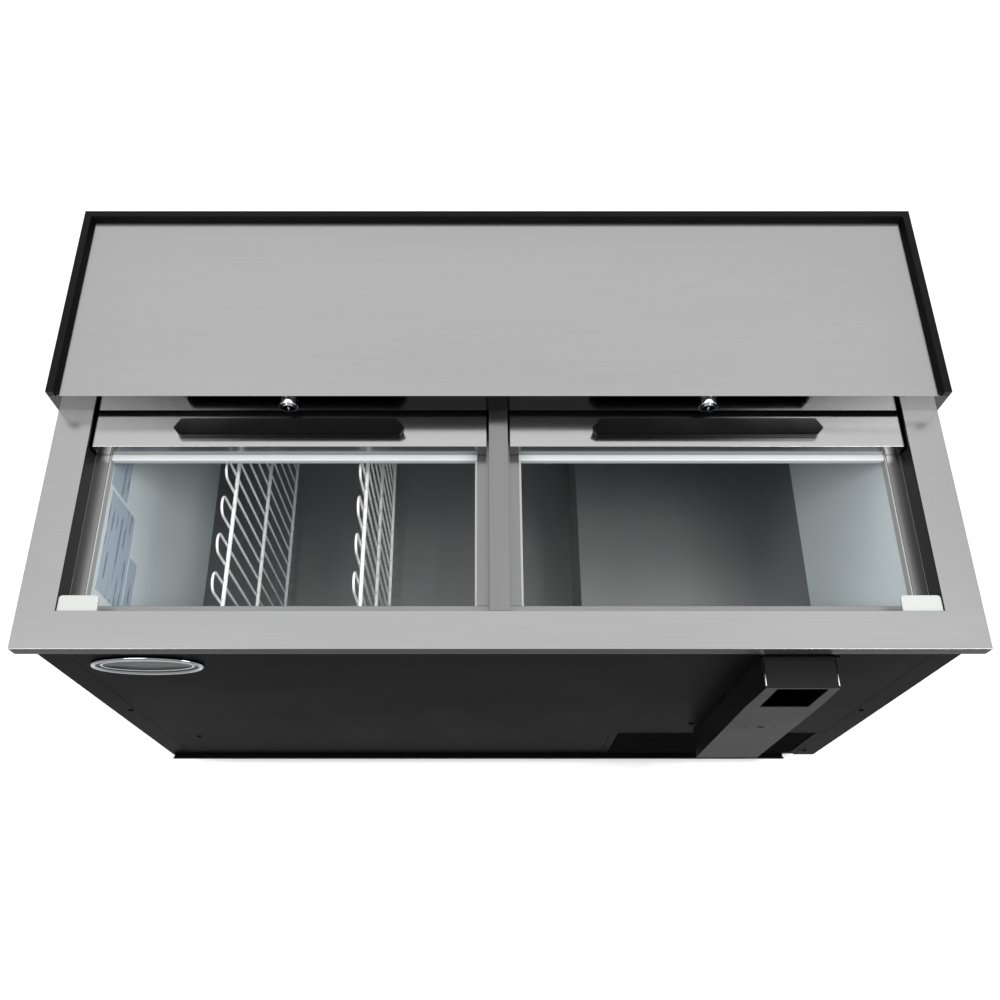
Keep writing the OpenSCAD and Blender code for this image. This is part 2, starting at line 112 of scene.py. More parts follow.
def stretched_noise(tree, size_mm, stretch=(1, 1, 1), detail=2.0):
    """Noise on object coordinates: size_mm across, longer where stretch is over 1."""
    coords = add_node(tree, "ShaderNodeTexCoord")
    scale = tuple(1 / (size_mm * MM * s) for s in stretch)
    mapping = add_node(tree, "ShaderNodeMapping", {"Vector": coords.outputs["Object"], "Scale": scale})
    return add_node(
        tree, "ShaderNodeTexNoise", {"Vector": mapping.outputs["Vector"], "Scale": 1.0, "Detail": detail}
    )


def spread(tree, value, low, high):
    """Map a noise value's useful middle range to low..high."""
    node = add_node(
        tree, "ShaderNodeMapRange",
        {"Value": value, "From Min": 0.3, "From Max": 0.7, "To Min": low, "To Max": high},
    )
    return node.outputs["Result"]


def tint(tree, value, dark, light):
    """A colour between dark and light, following a value."""
    node = add_node(
        tree, "ShaderNodeMix", {"Factor": value, "A": dark, "B": light}, data_type="RGBA"
    )
    return node.outputs["Result"]


def shade(colour, factor):
    """A darker or lighter copy of a linear colour."""
    return tuple(min(1.0, c * factor) for c in colour[:3]) + (1.0,)


def bump(tree, shader, height, depth_mm, strength=1.0):
    node = add_node(
        tree, "ShaderNodeBump", {"Height": height, "Distance": depth_mm * MM, "Strength": strength}
    )
    tree.links.new(node.outputs["Normal"], shader.inputs["Normal"])


# ---------------------------------------------------------------- materials
def brushed_stainless(name, colour, along, roughness=0.3):
    """Brushed 304 stainless: long soft scratches one way spread its highlights sideways."""
    mat, tree, shader = new_finish(name, colour, roughness, 1.0)
    # Real belt-grain lines are about 0.1 mm apart; drawn at 0.8 mm so that they show
    stretch = tuple(220 if axis == along else 1 for axis in "XYZ")
    grain = stretched_noise(tree, 0.8, stretch, 3.0)
    cloud = stretched_noise(tree, 160, tuple(3 if axis == along else 1 for axis in "XYZ"))
    both = add_node(
        tree, "ShaderNodeMath", {0: grain.outputs["Fac"], 1: cloud.outputs["Fac"]}, operation="ADD"
    )
    half = add_node(tree, "ShaderNodeMath", {0: both.outputs[0], 1: 0.5}, operation="MULTIPLY")
    tree.links.new(
        tint(tree, spread(tree, half.outputs[0], 0, 1), shade(colour, 0.93), shade(colour, 1.05)),
        shader.inputs["Base Color"],
    )
    tree.links.new(
        spread(tree, half.outputs[0], roughness - 0.04, roughness + 0.05), shader.inputs["Roughness"]
    )
    bump(tree, shader, grain.outputs["Fac"], 0.01, 0.25)
    return mat


def polished_stainless(name, colour):
    """Bright-annealed stainless: a mirror with a faint roll grain; its dark colour is a painted reflection of
    dark surroundings.
    """
    mat, tree, shader = new_finish(name, colour, 0.1, 1.0)
    grain = stretched_noise(tree, 1.2, (150, 1, 1))
    tree.links.new(spread(tree, grain.outputs["Fac"], 0.07, 0.14), shader.inputs["Roughness"])
    bump(tree, shader, grain.outputs["Fac"], 0.01, 0.3)
    return mat


def powder_coat(name, colour, roughness=0.42, gloss=0.004):
    """Powder-coated steel: an orange-peel skin about 2 mm across, slightly uneven in gloss."""
    mat, tree, shader = new_finish(name, colour, roughness, 0.0, Specular_IOR_Level=gloss)
    peel = stretched_noise(tree, 2.0)
    cloud = stretched_noise(tree, 120)
    tree.links.new(
        spread(tree, cloud.outputs["Fac"], roughness - 0.02, roughness + 0.02), shader.inputs["Roughness"]
    )
    tree.links.new(
        tint(tree, cloud.outputs["Fac"], shade(colour, 0.88), shade(colour, 1.12)),
        shader.inputs["Base Color"],
    )
    bump(tree, shader, peel.outputs["Fac"], 0.06, 0.35)
    return mat


def moulded_plastic(name, colour, roughness=0.45, gloss=0.5):
    """Injection-moulded plastic: a fine spark-eroded grain about 0.7 mm across."""
    mat, tree, shader = new_finish(name, colour, roughness, 0.0, Specular_IOR_Level=gloss)
    grain = stretched_noise(tree, 0.7)
    cloud = stretched_noise(tree, 60)
    tree.links.new(
        spread(tree, cloud.outputs["Fac"], roughness - 0.05, roughness + 0.05), shader.inputs["Roughness"]
    )
    tree.links.new(
        tint(tree, cloud.outputs["Fac"], shade(colour, 0.95), shade(colour, 1.04)),
        shader.inputs["Base Color"],
    )
    bump(tree, shader, grain.outputs["Fac"], 0.03, 0.4)
    return mat


def galvanised_steel(name, colour):
    """Hot-dip galvanised sheet: zinc crystals about 9 mm across catch the light differently."""
    mat, tree, shader = new_finish(name, colour, 0.42, 0.9)
    coords = add_node(tree, "ShaderNodeTexCoord")
    mapping = add_node(
        tree, "ShaderNodeMapping", {"Vector": coords.outputs["Object"], "Scale": (1 / 0.009,) * 3}
    )
    spangle = add_node(tree, "ShaderNodeTexVoronoi", {"Vector": mapping.outputs["Vector"], "Scale": 1.0})
    grey = add_node(tree, "ShaderNodeRGBToBW", {"Color": spangle.outputs["Color"]})
    tree.links.new(
        tint(tree, grey.outputs[0], shade(colour, 0.8), shade(colour, 1.1)), shader.inputs["Base Color"]
    )
    tree.links.new(spread(tree, grey.outputs[0], 0.36, 0.5), shader.inputs["Roughness"])
    return mat


def coated_well_sheet(name, colour):
    """Factory-painted aluminium liner: an even semi-gloss skin with a broad, faint mottle."""
    mat, tree, shader = new_finish(name, colour, 0.32)
    mottle = stretched_noise(tree, 140, (1, 1, 3))
    tree.links.new(
        tint(tree, mottle.outputs["Fac"], shade(colour, 0.97), shade(colour, 1.03)),
        shader.inputs["Base Color"],
    )
    return mat


def coated_wire(name, colour):
    """PVC-dipped steel wire: thick and glossy, with runs about 6 mm long."""
    mat, tree, shader = new_finish(name, colour, 0.28, 0.0, Coat_Weight=0.6, Coat_Roughness=0.08)
    runs = stretched_noise(tree, 6)
    tree.links.new(
        tint(tree, runs.outputs["Fac"], shade(colour, 0.92), shade(colour, 1.03)),
        shader.inputs["Base Color"],
    )
    tree.links.new(spread(tree, runs.outputs["Fac"], 0.22, 0.34), shader.inputs["Roughness"])
    bump(tree, shader, runs.outputs["Fac"], 0.15, 0.5)
    return mat


def chrome_plate(name, colour):
    """Chrome-plated zinc casting: a clean bright mirror with faint handling marks."""
    mat, tree, shader = new_finish(name, colour, 0.08, 1.0)
    marks = stretched_noise(tree, 5)
    tree.links.new(spread(tree, marks.outputs["Fac"], 0.05, 0.13), shader.inputs["Roughness"])
    return mat


def cast_metal(name, colour, metallic=0.9):
    """Sand-cast metal: dull, with a 1 mm grain."""
    mat, tree, shader = new_finish(name, colour, 0.5, metallic)
    grain = stretched_noise(tree, 1.0)
    tree.links.new(spread(tree, grain.outputs["Fac"], 0.42, 0.6), shader.inputs["Roughness"])
    bump(tree, shader, grain.outputs["Fac"], 0.12, 0.6)
    return mat


def rigid_foam(name, colour):
    """Blown polyurethane: closed cells about 2 mm across, no shine."""
    mat, tree, shader = new_finish(name, colour, 0.85)
    cells = stretched_noise(tree, 2.0)
    tree.links.new(
        tint(tree, cells.outputs["Fac"], shade(colour, 0.8), shade(colour, 1.05)),
        shader.inputs["Base Color"],
    )
    bump(tree, shader, cells.outputs["Fac"], 0.4, 0.6)
    return mat


def label_film(name, paper, ink):
    """Printed vinyl label: pale film with plain ruled bars and no lettering."""
    mat, tree, shader = new_finish(name, paper, 0.35)
    coords = add_node(tree, "ShaderNodeTexCoord")
    # Ruled bars 9 mm apart up the label
    mapping = add_node(
        tree, "ShaderNodeMapping", {"Vector": coords.outputs["Object"], "Scale": (1, 1, 1 / 0.018)}
    )
    bars = add_node(
        tree, "ShaderNodeTexWave",
        {"Vector": mapping.outputs["Vector"], "Scale": 0.318, "Distortion": 0.0},
        bands_direction="Z",
    )
    ramp = add_node(
        tree, "ShaderNodeMapRange", {"Value": bars.outputs["Fac"], "From Min": 0.72, "From Max": 0.8}
    )
    blotch = stretched_noise(tree, 26, (1, 1.6, 0.5), 0.0)
    block_out = add_node(
        tree, "ShaderNodeMapRange", {"Value": blotch.outputs["Fac"], "From Min": 0.5, "From Max": 0.52}
    )
    both = add_node(
        tree, "ShaderNodeMath", {0: ramp.outputs[0], 1: block_out.outputs[0]}, operation="MULTIPLY"
    )
    tree.links.new(tint(tree, both.outputs[0], paper, ink), shader.inputs["Base Color"])
    return mat


def soft_rubber(name, colour):
    """Moulded rubber: matte black with a bloom of fine dust."""
    mat, tree, shader = new_finish(name, colour, 0.7)
    dust = stretched_noise(tree, 14)
    tree.links.new(
        tint(tree, dust.outputs["Fac"], shade(colour, 0.8), shade(colour, 1.5)), shader.inputs["Base Color"]
    )
    tree.links.new(spread(tree, dust.outputs["Fac"], 0.6, 0.8), shader.inputs["Roughness"])
    return mat


FINISHES = {}


def make_finishes(colours):
    """All the object's materials, by a short name."""
    steel = tuple(colours.stainless) + (1.0,)
    black = tuple(colours.black_coat) + (1.0,)
    white = tuple(colours.white_plastic) + (1.0,)
    FINISHES.update(
        deck=brushed_stainless("brushed_stainless_deck", steel, "X", 0.22),
        # The mullion is the deck's stainless at 0.62 of its tone: painted shade.
        mullion=brushed_stainless("brushed_stainless_mullion_painted_shade", shade(steel, 0.62), "Y", 0.22),
        lid=brushed_stainless("brushed_stainless_lid", shade(steel, 1.15), "X", 0.17),
        # The ledges are the deck's stainless at 0.7 of its tone: painted shade for their place sunk below the
        # deck.
        ledge=brushed_stainless("brushed_stainless_ledge_painted_shade", shade(steel, 0.7), "Y", 0.3),
        # The fascia's #303030 is painted reflection: a mirror darkened for the dark surroundings it shows.
        fascia=polished_stainless("bright_annealed_fascia_painted_reflection", linear("#303030")),
        # Inner faces of the openings: stainless darkened to #343434 as painted shade, for the dark these
        # faces show.
        inner=brushed_stainless("brushed_stainless_inner_rim_painted_shade", linear("#343434"), "X", 0.25),
        # The nosing's front face is stainless in shade: this near-black finish is painted shade.
        hem=powder_coat("painted_shade_hem", linear("#242424"), 0.3, 0.02),
        well_floor=brushed_stainless("dull_stainless_floor", linear("#8C8C8C"), "Y", 0.45),
        body=powder_coat("black_powder_coat", black),
        catcher=powder_coat("charcoal_powder_coat", linear("#161616"), 0.4, 0.02),
        catcher_top=powder_coat("black_gloss_catcher_top", linear("#1A1A1A"), 0.25, 0.06),
        rim=powder_coat("gloss_black_powder_coat", linear("#070707"), 0.3, 0.08),
        enamel=powder_coat("black_stove_enamel", linear("#141414"), 0.25),
        handle=moulded_plastic("black_abs_handle", linear("#040404"), 0.22, 0.07),
        fan=moulded_plastic("dark_nylon_fan", linear("#2A2C30"), 0.5),
        white=moulded_plastic("white_abs_trim", white, 0.35),
        cover=moulded_plastic("white_polystyrene_panel", linear("#ACB0B0"), 0.4),
        galvanised=galvanised_steel("galvanised_sheet", linear("#A0A2A4")),
        zinc=galvanised_steel("zinc_plated_steel", linear("#B4B6B8")),
        well=coated_well_sheet("painted_well_liner", tuple(colours.well) + (1.0,)),
        wire=coated_wire("white_pvc_wire", linear("#D8D8D6")),
        chrome=chrome_plate("chrome_plated_lock", linear("#DADCDE")),
        badge_rim=chrome_plate("chrome_badge_rim", linear("#8A8C8E")),
        badge_face=powder_coat("dark_badge_enamel", linear("#1C1C1C"), 0.3, 0.05),
        opener=cast_metal("cast_iron_opener", linear("#8C8F92")),
        foam=rigid_foam("polyurethane_foam", linear("#E6D9A8")),
        label=label_film("printed_label_film", linear("#AEBCC8"), linear("#7E8E9C")),
        rubber=soft_rubber("black_rubber", linear("#181818")),
        fins=brushed_stainless("aluminium_fin_stock", linear("#B4B8BC"), "Z", 0.35),
        copper=cast_metal("drawn_copper_tube", linear("#B06A3C"), 1.0),
    )


# ---------------------------------------------------------------- mesh helpers
def new_piece(name, mesh, finish):
    """An object at the origin for a finished mesh, whose faces keep their material numbers."""
    numbers = [face.material_index for face in mesh.polygons]
    mesh.materials.clear()
    for key in finish if isinstance(finish, (list, tuple)) else [finish]:
        mesh.materials.append(FINISHES[key])
    mesh.polygons.foreach_set("material_index", numbers)
    piece = bpy.data.objects.new(name, mesh)
    bpy.context.scene.collection.objects.link(piece)
    return piece


def settle(piece):
    """Turn a piece's modifiers into plain mesh."""
    bpy.context.view_layer.update()
    evaluated = piece.evaluated_get(bpy.context.evaluated_depsgraph_get())
    mesh = bpy.data.meshes.new_from_object(evaluated)
    piece.modifiers.clear()
    old = piece.data
    piece.data = mesh
    bpy.data.meshes.remove(old)
    return piece


def soften(piece, width_mm, segments=2):
    """Round the piece's sharp edges and shade it smooth between flat faces."""
    bevel = piece.modifiers.new("edge", "BEVEL")
    bevel.width = width_mm * MM
    bevel.segments = segments
    bevel.limit_method = "ANGLE"
    bevel.angle_limit = math.radians(35)
    bevel.use_clamp_overlap = True
    bevel.harden_normals = False
    piece.data.polygons.foreach_set("use_smooth", [True] * len(piece.data.polygons))
    normals = piece.modifiers.new("normals", "WEIGHTED_NORMAL")
    normals.keep_sharp = True
    return settle(piece)


def merged_copy(node):
    """A merged copy of a CAD node's mesh, with its flat faces whole."""
    mesh = frame["nodes"][node].data.copy()
    shape = bmesh.new()
    shape.from_mesh(mesh)
    bmesh.ops.remove_doubles(shape, verts=shape.verts, dist=0.00002)
    bmesh.ops.dissolve_limit(
        shape, angle_limit=math.radians(0.6), verts=shape.verts, edges=shape.edges, delimit={"NORMAL"}
    )
    shape.to_mesh(mesh)
    shape.free()
    return mesh


def body_of(node):
    return frame["nodes"][node]["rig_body"]


def stand_in(piece, *nodes):
    """The piece shows in place of these CAD nodes, and moves with them."""
    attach(piece, body_of(nodes[0]))
    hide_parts(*nodes)
    return piece


def dress(node, finish, edge_mm, choose=None, segments=2):
    """Stand a softened copy in for a CAD node; choose picks a material for each face."""
    mesh = merged_copy(node)
    piece = new_piece("look_" + node, mesh, finish)
    if choose:
        for face in mesh.polygons:
            face.material_index = choose(face)
    return stand_in(soften(piece, edge_mm, segments), node)


def paint(node, finish):
    """Give a CAD node that keeps its shape its real material."""
    node_object = frame["nodes"][node]
    node_object.data.materials.clear()
    node_object.data.materials.append(FINISHES[finish])


def lathe(profile, steps):
    """A closed mesh from a list of (radius, height) points, spun about the Z axis."""
    shape = bmesh.new()
    rings = []
    for radius, height in profile:
        if radius < 1e-7:
            rings.append([shape.verts.new((0, 0, height))])
        else:
            turn = [2 * math.pi * i / steps for i in range(steps)]
            rings.append([
                shape.verts.new((radius * math.cos(a), radius * math.sin(a), height)) for a in turn
            ])
    for low, high in zip(rings, rings[1:]):
        for i in range(steps):
            j = (i + 1) % steps
            loop = [low[i % len(low)], low[j % len(low)], high[j % len(high)], high[i % len(high)]]
            corners = list(dict.fromkeys(loop))
            if len(corners) > 2:
                shape.faces.new(corners)
    for ring in (rings[0], rings[-1]):
        if len(ring) > 1:
            shape.faces.new(ring)
    bmesh.ops.recalc_face_normals(shape, faces=shape.faces)
    mesh = bpy.data.meshes.new("lathe")
    shape.to_mesh(mesh)
    shape.free()
    return mesh


def box_mesh(low, high):
    """A box mesh between two corners."""
    shape = bmesh.new()
    bmesh.ops.create_cube(shape, size=1.0)
    low, high = Vector(low), Vector(high)
    shape.transform(Matrix.Translation((low + high) / 2) @ Matrix.Diagonal((*(high - low), 1)))
    mesh = bpy.data.meshes.new("box")
    shape.to_mesh(mesh)
    shape.free()
    return mesh


def swept_mesh(paths, radius, sides=10):
    """Round wire along each path, with capped ends."""
    curve = bpy.data.curves.new("sweep", "CURVE")
    curve.dimensions = "3D"
    curve.bevel_depth = radius
    curve.bevel_resolution = max(0, sides // 4 - 1)
    curve.use_fill_caps = True
    for points in paths:
        spline = curve.splines.new("POLY")
        spline.points.add(len(points) - 1)
        for spot, place in zip(spline.points, points):
            spot.co = (*place, 1)
    temp = bpy.data.objects.new("sweep", curve)
    bpy.context.scene.collection.objects.link(temp)
    bpy.context.view_layer.update()
    mesh = bpy.data.meshes.new_from_object(temp.evaluated_get(bpy.context.evaluated_depsgraph_get()))
    bpy.data.objects.remove(temp)
    bpy.data.curves.remove(curve)
    mesh.polygons.foreach_set("use_smooth", [True] * len(mesh.polygons))
    return mesh


def joined(meshes):
    """One mesh from several, keeping each one's material numbers."""
    shape = bmesh.new()
    for mesh in meshes:
        shape.from_mesh(mesh)
        bpy.data.meshes.remove(mesh)
    mesh = bpy.data.meshes.new("joined")
    shape.to_mesh(mesh)
    shape.free()
    return mesh


# ---------------------------------------------------------------- geometry nodes
def row_tree():
    """A node group that repeats a piece along a line, as plain geometry."""
    tree = bpy.data.node_groups.new("row_of_pieces", "GeometryNodeTree")
    sockets = (
        ("Geometry", "NodeSocketGeometry"), ("Piece", "NodeSocketObject"), ("Count", "NodeSocketInt"),
        ("Start", "NodeSocketVector"), ("Step", "NodeSocketVector"), ("Finish", "NodeSocketMaterial"),
    )
    for name, kind in sockets:
        tree.interface.new_socket(name, in_out="INPUT", socket_type=kind)
    tree.interface.new_socket("Geometry", in_out="OUTPUT", socket_type="NodeSocketGeometry")
    given = add_node(tree, "NodeGroupInput").outputs
    line = add_node(
        tree, "GeometryNodeMeshLine",
        {"Count": given["Count"], "Start Location": given["Start"], "Offset": given["Step"]},
    )
    finish_tree(tree, given, line.outputs["Mesh"])
    return tree


def spots_tree():
    """A node group that puts a piece on every point of a mesh, as plain geometry."""
    tree = bpy.data.node_groups.new("pieces_on_spots", "GeometryNodeTree")
    sockets = (
        ("Geometry", "NodeSocketGeometry"), ("Piece", "NodeSocketObject"), ("Finish", "NodeSocketMaterial"),
    )
    for name, kind in sockets:
        tree.interface.new_socket(name, in_out="INPUT", socket_type=kind)
    tree.interface.new_socket("Geometry", in_out="OUTPUT", socket_type="NodeSocketGeometry")
    given = add_node(tree, "NodeGroupInput").outputs
    finish_tree(tree, given, given["Geometry"])
    return tree


def finish_tree(tree, given, points):
    """Instance the piece on the points, then realize it and set its material."""
    piece = add_node(tree, "GeometryNodeObjectInfo", {"Object": given["Piece"]})
    copies = add_node(
        tree, "GeometryNodeInstanceOnPoints", {"Points": points, "Instance": piece.outputs["Geometry"]}
    )
    real = add_node(tree, "GeometryNodeRealizeInstances", {"Geometry": copies.outputs["Instances"]})
    coloured = add_node(
        tree, "GeometryNodeSetMaterial", {"Geometry": real.outputs["Geometry"], "Material": given["Finish"]}
    )
    add_node(tree, "NodeGroupOutput", {"Geometry": coloured.outputs["Geometry"]})


def grown(tree, base_mesh, settings):
    """The mesh that a node group makes from its named inputs."""
    host = bpy.data.objects.new("host", base_mesh)
    bpy.context.scene.collection.objects.link(host)
    modifier = host.modifiers.new("nodes", "NODES")
    modifier.node_group = tree
    names = {item.name: item.identifier for item in tree.interface.items_tree if item.in_out == "INPUT"}
    for name, value in settings.items():
        modifier[names[name]] = value
    host.update_tag()
    bpy.context.view_layer.update()
    mesh = bpy.data.meshes.new_from_object(host.evaluated_get(bpy.context.evaluated_depsgraph_get()))
    bpy.data.objects.remove(host)
    return mesh


def row_of(piece_mesh, count, start, step, finish):
    """A piece repeated along a line."""
    piece = bpy.data.objects.new("repeated", piece_mesh)
    settings = {
        "Piece": piece, "Count": count, "Start": tuple(start), "Step": tuple(step),
        "Finish": FINISHES[finish],
    }
    mesh = grown(row_tree(), bpy.data.meshes.new("empty"), settings)
    bpy.data.objects.remove(piece)
    return mesh


def on_spots(piece_mesh, places, finish):
    """A piece repeated at given places."""
    spots = bpy.data.meshes.new("spots")
    spots.from_pydata([tuple(p) for p in places], [], [])
    piece = bpy.data.objects.new("repeated", piece_mesh)
    mesh = grown(spots_tree(), spots, {"Piece": piece, "Finish": FINISHES[finish]})
    bpy.data.objects.remove(piece)
    return mesh


# ---------------------------------------------------------------- settings
class CoolerColours(bpy.types.PropertyGroup):
    """Colours of the main finishes."""

    stainless: FloatVectorProperty(
        name="Stainless", description="Brushed steel of the top and lids", subtype="COLOR",
        size=3, min=0, max=1, default=linear("#8E8E8E")[:3],
    )
    black_coat: FloatVectorProperty(
        name="Black coat", description="Powder coat of the body", subtype="COLOR",
        size=3, min=0, max=1, default=linear("#080808")[:3],
    )
    white_plastic: FloatVectorProperty(
        name="White plastic", description="Breaker strips and corner stops", subtype="COLOR",
        size=3, min=0, max=1, default=linear("#9C9E9C")[:3],
    )
    well: FloatVectorProperty(
        name="Well liner", description="Painted walls of the well", subtype="COLOR",
        size=3, min=0, max=1, default=linear("#D6E0E2")[:3],
    )


class CoolerSizes(bpy.types.PropertyGroup):
    """Sizes of the details that are made here."""

    sheet_edge: FloatProperty(
        name="Sheet edge", description="Radius on folded sheet edges", unit="LENGTH", default=0.6 * MM
    )
    fin_pitch: FloatProperty(
        name="Fin pitch", description="Spacing of the coils' fins", unit="LENGTH", default=4.2 * MM
    )
    slats: IntProperty(name="Slats", description="Slats in the front grille", default=9, min=4, max=14)
    wires: IntProperty(
        name="Hairpins", description="Hairpin wires in one bottle divider", default=8, min=4, max=8
    )


class StageSettings(bpy.types.PropertyGroup):
    """Camera, floor and lights."""

    lens: FloatProperty(name="Lens", description="Focal length", unit="CAMERA", default=35.69)
    tilt: FloatProperty(
        name="Tilt", description="Camera's turn up from straight down", subtype="ANGLE",
        default=math.radians(25.83),
    )
    shift: FloatProperty(name="Shift", description="Sideways lens shift", default=0.02)
    camera_place: FloatVectorProperty(
        name="Camera", description="Where the camera stands", subtype="TRANSLATION", unit="LENGTH",
        default=(-0.026, -0.705, 2.028),
    )
    softbox_power: FloatProperty(name="Softbox", description="Overhead light", unit="POWER", default=50.0)
    side_power: FloatProperty(
        name="Side lights", description="Lights that reach the well's end walls", unit="POWER",
        default=38.0,
    )
    room_light: FloatProperty(name="Room", description="Even light from all round", default=0.95)


# ---------------------------------------------------------------- operators
class COOLER_OT_finishes(bpy.types.Operator):
    """Make all the materials"""

    bl_idname = "cooler.finishes"
    bl_label = "Finishes"

    def execute(self, context):
        make_finishes(context.scene.cooler_colours)
        return {"FINISHED"}


class COOLER_OT_top(bpy.types.Operator):
    """Stainless deck, mullion, raised deck and its black rim"""

    bl_idname = "cooler.top"
    bl_label = "Stainless top"

    def execute(self, context):
        edge = context.scene.cooler_sizes.sheet_edge / MM
        deck_low, deck_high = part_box("deck_frame")
        border = 45 * MM

        def deck_face(face):
            outside = (
                face.center.x < deck_low.x + border or face.center.x > deck_high.x - border
                or face.center.y < deck_low.y + border or face.center.y > deck_high.y - 3 * MM
            )
            # Ledges below the deck top take the darker stainless, painted shade
            if face.normal.z > 0.9 and face.center.z < deck_high.z - 2 * MM:
                return 2
            # The nosing's front faces take the near-black finish as painted shade
            if face.normal.y < -0.9 and face.center.y < deck_low.y + border:
                return 3
            # Remaining inner faces of the openings take the darkened stainless, painted shade
            return 0 if outside or face.normal.z > 0.9 else 1

        dress("deck_frame", ["deck", "inner", "ledge", "hem"], edge, deck_face)
        # The mullion takes the darker stainless copy, painted shade
        dress("centre_mullion", "mullion", edge)
        # The raised deck's front faces take the darkened mirror, a painted dark reflection
        dress("rear_deck", ["deck", "fascia"], edge, lambda face: 1 if face.normal.y < -0.9 else 0)
        dress("rear_deck_rim", "rim", 0.9)
        return {"FINISHED"}


class COOLER_OT_lids(bpy.types.Operator):
    """Two sliding lids with their cores, liners, handles and keepers"""

    bl_idname = "cooler.lids"
    bl_label = "Sliding lids"

    def execute(self, context):
        for side in ("left", "right"):
            dress(f"{side}_lid_pan", "lid", 1.1, segments=3)
            self.handle(side)
            dress(f"{side}_lid_keeper", "zinc", 0.4)
            paint(f"{side}_lid_core", "foam")
            dress(f"{side}_lid_liner", "cover", 0.8)
        return {"FINISHED"}

    def handle(self, side):
        """A wedge bar: its top slopes up to the back and its ends are cut at a slant."""
        low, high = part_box(f"{side}_lid_handle")
        middle = (low.x + high.x) / 2
        half = (high.x - low.x) / 2
        # (half length, distance behind the bar's front, height above the lid)
        outline = (
            (half - 8 * MM, 0.0, 0.0), (half - 7 * MM, 0.5 * MM, 12 * MM), (half, 8 * MM, 17 * MM),
            (half - 2 * MM, 8 * MM, 0.0), (half - 12 * MM, 19 * MM, high.z - low.z),
            (half - 12 * MM, high.y - low.y, 0.0),
        )
        shape = bmesh.new()
        for length, back, up in outline:
            for sign in (-1, 1):
                shape.verts.new((middle + sign * length, low.y + back, low.z + up))
        bmesh.ops.convex_hull(shape, input=shape.verts)
        bmesh.ops.dissolve_limit(shape, angle_limit=math.radians(1), verts=shape.verts, edges=shape.edges)
        mesh = bpy.data.meshes.new("handle")
        shape.to_mesh(mesh)
        shape.free()
        piece = new_piece(f"{side}_handle_bar", mesh, "handle")
        stand_in(soften(piece, 1.4, 3), f"{side}_lid_handle")


class COOLER_OT_locks(bpy.types.Operator):
    """Chrome lock bezels in the fascia, and the turning cylinders with their cams"""

    bl_idname = "cooler.locks"
    bl_label = "Locks"

    def execute(self, context):
        dress("lock_bezels", "chrome", 1.2, segments=3)
        for side in ("left", "right"):
            dress(f"{side}_lock_cam", "chrome", 0.4)
        return {"FINISHED"}


class COOLER_OT_body(bpy.types.Operator):
    """Black body panels, back panel, base frame and screws"""

    bl_idname = "cooler.body"
    bl_label = "Body panels"

    def execute(self, context):
        for node in ("left_side_panel", "right_side_panel", "front_panel", "base_frame"):
            dress(node, "body", 0.6)
        dress("back_panel", "galvanised", 0.4)
        paint("machine_bay_shell", "galvanised")
        paint("foam_insulation", "foam")
        self.screws()
        dress("cord_gland", "rubber", 0.6)
        return {"FINISHED"}

    def screws(self):
        """Pan-head screws, one for each head in the CAD node."""
        front, back = [], []
        for centre, _ in self.solids("panel_screws"):
            (front if centre.y < 0 else back).append(centre)
        half = 1 * MM
        head = self.pan_head(
            [(0, -2.0), (1.6, -1.95), (3.2, -1.6), (4.2, -0.9), (4.5, -0.2), (4.5, 0), (0, 0)], True
        )
        front_mesh = on_spots(head, [(c.x, c.y + half, c.z) for c in front], "body")
        rear_head = self.pan_head(
            [(0, 0), (4.5, 0), (4.5, 0.2), (4.2, 0.9), (3.2, 1.6), (1.6, 1.95), (0, 2.0)], False
        )
        back_mesh = on_spots(rear_head, [(c.x, c.y - half, c.z) for c in back], "body")
        piece = new_piece("panel_screw_heads", joined([front_mesh, back_mesh]), "body")
        stand_in(piece, "panel_screws")

    def pan_head(self, profile, smooth):
        """A screw head from a profile in millimetres, turned to point along Y."""
        mesh = lathe(profile, 20)
        mesh.transform(Matrix.Rotation(-math.pi / 2, 4, "X") @ Matrix.Diagonal((MM, MM, MM, 1)))
        for face in mesh.polygons:
            face.use_smooth = smooth
        return mesh

    def solids(self, node):
        """The centre and size of each separate solid in a CAD node."""
        shape = bmesh.new()
        shape.from_mesh(frame["nodes"][node].data)
        bmesh.ops.remove_doubles(shape, verts=shape.verts, dist=0.00002)
        shape.verts.ensure_lookup_table()
        seen, found = set(), []
        for start in shape.verts:
            if start in seen:
                continue
            group, queue = [], [start]
            seen.add(start)
            while queue:
                vert = queue.pop()
                group.append(vert.co.copy())
                for edge in vert.link_edges:
                    other = edge.other_vert(vert)
                    if other not in seen:
                        seen.add(other)
                        queue.append(other)
            low = Vector([min(c[i] for c in group) for i in range(3)])
            high = Vector([max(c[i] for c in group) for i in range(3)])
            found.append(((low + high) / 2, high - low))
        shape.free()
        return found


